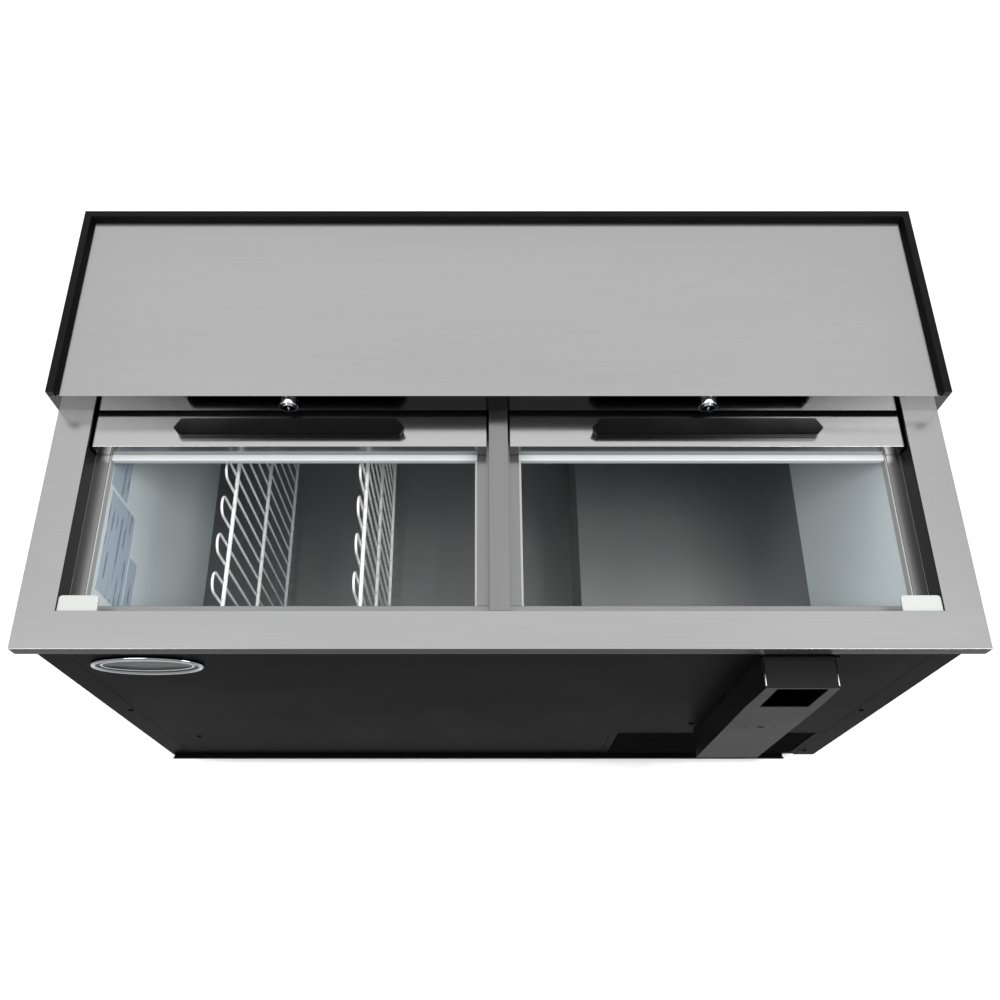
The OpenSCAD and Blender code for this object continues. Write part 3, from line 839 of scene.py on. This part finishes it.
class COOLER_OT_grille(bpy.types.Operator):
    """Louvred grille over the machine bay"""

    bl_idname = "cooler.grille"
    bl_label = "Grille"

    def execute(self, context):
        slats = context.scene.cooler_sizes.slats
        low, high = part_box("front_grille")
        wall = 12 * MM
        depth = 8 * MM
        bars = []
        sides = (
            ((low.x, low.y, low.z), (low.x + wall, low.y + depth, high.z)),
            ((high.x - wall, low.y, low.z), (high.x, low.y + depth, high.z)),
            ((low.x + wall, low.y, low.z), (high.x - wall, low.y + depth, low.z + wall)),
            ((low.x + wall, low.y, high.z - wall), (high.x - wall, low.y + depth, high.z)),
        )
        for a, b in sides:
            bars.append(box_mesh(a, b))
        pitch = (high.z - low.z - 2 * wall) / slats
        slat = self.slat(high.x - low.x - 2 * wall + 1 * MM, pitch, depth)
        start = (low.x + wall - 0.5 * MM, low.y + 0.6 * MM, low.z + wall + pitch * 0.12)
        bars.append(row_of(slat, slats, start, (0, 0, pitch), "body"))
        piece = new_piece("louvred_grille", joined(bars), "body")
        stand_in(soften(piece, 0.5), "front_grille")
        return {"FINISHED"}

    def slat(self, length, pitch, depth):
        """One louvre: a sheet that rises to the front, with a rolled lower lip."""
        thick = 1.2 * MM
        reach = depth - 1.4 * MM
        outline = [(0, 0), (0, thick * 1.6), (reach, pitch * 0.62 + thick), (reach, pitch * 0.62), (thick, 0)]
        shape = bmesh.new()
        ends = [[shape.verts.new((x, y, z)) for y, z in outline] for x in (0, length)]
        shape.faces.new(ends[0])
        shape.faces.new(ends[1])
        for i in range(len(outline)):
            j = (i + 1) % len(outline)
            shape.faces.new([ends[0][i], ends[0][j], ends[1][j], ends[1][i]])
        bmesh.ops.recalc_face_normals(shape, faces=shape.faces)
        mesh = bpy.data.meshes.new("slat")
        shape.to_mesh(mesh)
        shape.free()
        return mesh


class COOLER_OT_catcher(bpy.types.Operator):
    """Cap catcher, its backplate and the bottle opener"""

    bl_idname = "cooler.catcher"
    bl_label = "Cap catcher"

    def execute(self, context):
        self.box()
        dress("catcher_backplate", "body", 0.4)
        dress("bottle_opener", "opener", 0.9)
        return {"FINISHED"}


    def box(self):
        """The box's top has its own glossier black finish, its end faces a near-black finish as painted
        shade, and chrome rods along the two ends of the top are painted highlights for its rounded edges.
        """
        def box_face(face):
            # End faces take the near-black gloss coat as painted shade
            return 1 if face.normal.z > 0.9 else 2 if abs(face.normal.x) > 0.9 else 0

        dress("cap_catcher", ["catcher", "catcher_top", "rim"], 0.6, box_face)
        low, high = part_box("cap_catcher")
        # Chrome rods along the top's two ends are painted highlights for the box's rounded black edges
        edge = 1.6 * MM
        rods = []
        for x in (low.x + 4.3 * MM, high.x - 4.3 * MM):
            z = high.z - edge / 2
            rods.append([(x, low.y + 2 * edge, z), (x, high.y - edge, z)])
        piece = new_piece("catcher_rolled_edges", swept_mesh(rods, edge, 16), "chrome")
        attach(piece, body_of("cap_catcher"))


class COOLER_OT_badge(bpy.types.Operator):
    """Blank oval badge with a bright rim"""

    bl_idname = "cooler.badge"
    bl_label = "Badge"

    def execute(self, context):
        low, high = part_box("badge")
        centre = (low + high) / 2
        half = (high - low) / 2
        thick = high.y - low.y
        # (share of the half width, height in thicknesses, material of the band outside it)
        bands = [
            (1.0, 0.0), (1.0, 0.55), (0.985, 0.9), (0.965, 1.0), (0.94, 0.9), (0.925, 0.5), (0.9, 0.42),
            (0.84, 0.42), (0.83, 0.55), (0.81, 0.55), (0.8, 0.42), (0.4, 0.5), (0.0, 0.52),
        ]
        shape = bmesh.new()
        steps = 72
        rings = []
        for share, up in bands:
            y = high.y - up * thick
            if share == 0:
                rings.append([shape.verts.new((centre.x, y, centre.z))])
                continue
            inset = half.x * (1 - share)
            turn = [2 * math.pi * i / steps for i in range(steps)]
            rings.append([
                shape.verts.new((
                    centre.x + (half.x - inset) * math.cos(a), y, centre.z + (half.z - inset) * math.sin(a)
                )) if half.z > inset else shape.verts.new((
                    centre.x + (half.x - half.z) * share * math.cos(a), y,
                    centre.z + 0.1 * half.z * share * math.sin(a)
                ))
                for a in turn
            ])
        for number, (outer, inner) in enumerate(zip(rings, rings[1:])):
            for i in range(steps):
                j = (i + 1) % steps
                loop = list(dict.fromkeys([outer[i], outer[j], inner[j % len(inner)], inner[i % len(inner)]]))
                face = shape.faces.new(loop)
                face.smooth = True
                face.material_index = 0 if number < 5 or number in (7, 8, 9) else 1
        shape.faces.new(rings[0])
        bmesh.ops.recalc_face_normals(shape, faces=shape.faces)
        mesh = bpy.data.meshes.new("badge")
        shape.to_mesh(mesh)
        shape.free()
        stand_in(new_piece("oval_badge", mesh, ["badge_rim", "badge_face"]), "badge")
        return {"FINISHED"}


class COOLER_OT_well(bpy.types.Operator):
    """Well liner, step, breaker strips, rear cover, corner stops, labels and drain"""

    bl_idname = "cooler.well"
    bl_label = "Well"

    def execute(self, context):
        dress("tank_walls", "well", 0.3)
        dress("tank_floor", "well_floor", 0.3)
        dress("machine_step", "well_floor", 0.5)
        dress("bay_breaker_strips", "white", 0.8)
        dress("rear_cover_panel", "cover", 2.0, segments=3)
        dress("lid_stop_blocks", "white", 0.7, segments=3)
        dress("wall_labels", "label", 0.05)
        dress("drain_fitting", "white", 0.5)
        return {"FINISHED"}


class COOLER_OT_dividers(bpy.types.Operator):
    """White coated wire dividers: hairpin wires welded to three rods"""

    bl_idname = "cooler.dividers"
    bl_label = "Wire dividers"

    def execute(self, context):
        count = context.scene.cooler_sizes.wires
        for side in ("left", "right"):
            node = f"{side}_divider"
            low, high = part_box(node)
            wire = 2 * MM
            rod = 3.25 * MM
            lead = 46 * MM
            pitch = (high.y - low.y - lead - 34 * MM) / (2 * count - 1)
            x = low.x + wire
            first = low.y + lead
            turn = high.z - wire - pitch / 2
            bend = [
                (x, first + pitch / 2 - pitch / 2 * math.cos(a), turn + pitch / 2 * math.sin(a))
                for a in [math.pi * i / 14 for i in range(15)]
            ]
            path = [(x, first, low.z), *bend, (x, first + pitch, low.z)]
            hairpins = row_of(swept_mesh([path], wire, 12), count, (0, 0, 0), (0, 2 * pitch, 0), "wire")
            # Rods lie on the wires' +X side at these heights over the floor of the well
            floor = low.z - 0.5 * MM
            heights = [floor + h * MM for h in (35, 261, 472)]
            rods = swept_mesh(
                [
                    [(high.x - rod, low.y + 0.6 * MM, z), (high.x - rod, high.y - 0.6 * MM, z)]
                    for z in heights
                ],
                rod, 12,
            )
            piece = new_piece(f"{side}_wire_divider_look", joined([hairpins, rods]), "wire")
            stand_in(piece, node)
        return {"FINISHED"}


class COOLER_OT_machine(bpy.types.Operator):
    """Compressor, condenser, evaporator, fans, controls and pipes"""

    bl_idname = "cooler.machine"
    bl_label = "Refrigeration"

    def execute(self, context):
        dress("compressor", "enamel", 1.5, segments=3)
        dress("compressor_mounts", "rubber", 1.0)
        self.coil("condenser_coil")
        self.coil("evaporator_coil")
        dress("condenser_shroud", "galvanised", 0.4)
        for node in ("condenser_fan_motor", "evaporator_fan_motor"):
            dress(node, "enamel", 1.2)
        for node in ("condenser_fan", "evaporator_fan", "thermostat_knob"):
            dress(node, "fan", 0.4)
        dress("refrigerant_lines", "copper", 0.2)
        dress("electrical_box", "galvanised", 1.5)
        dress("evaporator_cover", "well", 0.4)
        return {"FINISHED"}

    def coil(self, node):
        """A finned block: thin upright fins between two end plates, with tube bends outside."""
        low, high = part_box(node)
        plate = 1.5 * MM
        reach = 8 * MM if node == "condenser_coil" else 0
        x0, x1 = low.x + reach, high.x - reach
        pitch = bpy.context.scene.cooler_sizes.fin_pitch
        count = int((x1 - x0 - 2 * plate) / pitch)
        fin = box_mesh((0, low.y + 1 * MM, low.z + 1 * MM), (0.5 * MM, high.y - 1 * MM, high.z - 1 * MM))
        meshes = [
            box_mesh((x0, low.y, low.z), (x0 + plate, high.y, high.z)),
            box_mesh((x1 - plate, low.y, low.z), (x1, high.y, high.z)),
            row_of(fin, count, (x0 + plate + pitch / 2, 0, 0), (pitch, 0, 0), "fins"),
        ]
        if reach:
            rows = 5
            gap = 37 * MM
            bend = [
                (low.x + 4 * MM, low.y + 17 * MM + 12.5 * MM * (1 - math.cos(a)), low.z + 18 * MM)
                for a in (0, math.pi)
            ]
            front, rear = bend
            left = swept_mesh([
                [(x0 + 1 * MM, front[1], front[2]), front, rear, (x0 + 1 * MM, rear[1], rear[2])]
            ], 3.8 * MM)
            meshes.append(row_of(left, rows, (0, 0, 0), (0, 0, gap), "copper"))
            across = high.x - low.x - 8 * MM
            right = swept_mesh([
                [(x1 - 1 * MM, front[1], front[2]), (front[0] + across, front[1], front[2]),
                 (rear[0] + across, rear[1], rear[2]), (x1 - 1 * MM, rear[1], rear[2])]
            ], 3.8 * MM)
            meshes.append(row_of(right, rows, (0, 0, 0), (0, 0, gap), "copper"))
        mesh = joined(meshes)
        stand_in(new_piece("finned_" + node, mesh, ["fins", "copper"]), node)


class COOLER_OT_feet(bpy.types.Operator):
    """Leg sockets and the four adjustable feet"""

    bl_idname = "cooler.feet"
    bl_label = "Feet"

    def execute(self, context):
        dress("leg_sockets", "zinc", 0.8)
        for end in ("front", "rear"):
            for side in ("left", "right"):
                dress(f"foot_{end}_{side}", "zinc", 0.8)
        return {"FINISHED"}


class COOLER_OT_stage(bpy.types.Operator):
    """Camera, plain floor and soft light"""

    bl_idname = "cooler.stage"
    bl_label = "Stage"

    def execute(self, context):
        stage = context.scene.cooler_stage
        scene = context.scene
        camera = bpy.data.cameras.new("camera")
        camera.lens = stage.lens
        camera.sensor_width = 36
        camera.shift_x = stage.shift
        camera.clip_end = 50
        holder = bpy.data.objects.new("camera", camera)
        holder.location = stage.camera_place
        holder.rotation_euler = (stage.tilt, 0, 0)
        scene.collection.objects.link(holder)
        scene.camera = holder
        scene.view_settings.view_transform = "Standard"

        floor = bpy.data.objects.new("floor", box_mesh((-8, -8, -0.02), (8, 8, 0)))
        scene.collection.objects.link(floor)
        floor.data.materials.append(new_finish("pale_floor", linear("#F4F4F4"), 0.9)[0])

        self.softbox("overhead", (0, 0.95, 3.4), (0, 0, 0), (4.6, 4.3), stage.softbox_power)
        for side, share in ((-1, 0.7), (1, 1.0)):
            turn = (0, math.radians(36 * side), 0)
            self.softbox("side", (1.25 * side, -0.72, 2.45), turn, (0.8, 0.6), stage.side_power * share)
        world = bpy.data.worlds.new("room")
        scene.world = world
        world.use_nodes = True
        room = world.node_tree.nodes["Background"]
        room.inputs["Color"].default_value = (1, 1, 1, 1)
        room.inputs["Strength"].default_value = stage.room_light
        return {"FINISHED"}

    def softbox(self, name, place, turn, size, power):
        light = bpy.data.lights.new(name, "AREA")
        light.shape = "RECTANGLE"
        light.size, light.size_y = size
        light.energy = power
        holder = bpy.data.objects.new(name, light)
        holder.location = place
        holder.rotation_euler = turn
        bpy.context.scene.collection.objects.link(holder)


class COOLER_PT_panel(bpy.types.Panel):
    """The bottle cooler's pieces"""

    bl_label = "Bottle Cooler"
    bl_idname = "COOLER_PT_panel"
    bl_space_type = "VIEW_3D"
    bl_region_type = "UI"
    bl_category = "Bottle Cooler"

    def draw(self, context):
        for operator in OPERATORS:
            self.layout.operator(operator.bl_idname)
        for group in ("cooler_colours", "cooler_sizes", "cooler_stage"):
            settings = getattr(context.scene, group)
            for name in settings.bl_rna.properties.keys():
                if name not in ("rna_type", "name"):
                    self.layout.prop(settings, name)


GROUPS = (CoolerColours, CoolerSizes, StageSettings)
OPERATORS = (
    COOLER_OT_finishes, COOLER_OT_top, COOLER_OT_lids, COOLER_OT_locks, COOLER_OT_body,
    COOLER_OT_grille, COOLER_OT_catcher, COOLER_OT_badge, COOLER_OT_well, COOLER_OT_dividers,
    COOLER_OT_machine, COOLER_OT_feet, COOLER_OT_stage,
)


def register():
    for cls in (*GROUPS, *OPERATORS, COOLER_PT_panel):
        bpy.utils.register_class(cls)
    bpy.types.Scene.cooler_colours = PointerProperty(type=CoolerColours)
    bpy.types.Scene.cooler_sizes = PointerProperty(type=CoolerSizes)
    bpy.types.Scene.cooler_stage = PointerProperty(type=StageSettings)


def unregister():
    del bpy.types.Scene.cooler_stage
    del bpy.types.Scene.cooler_sizes
    del bpy.types.Scene.cooler_colours
    for cls in (COOLER_PT_panel, *reversed(OPERATORS), *reversed(GROUPS)):
        bpy.utils.unregister_class(cls)


def main():
    """Build every piece."""
    register()
    for operator in OPERATORS:
        group, name = operator.bl_idname.split(".")
        getattr(getattr(bpy.ops, group), name)()


if __name__ == "__main__":
    main()
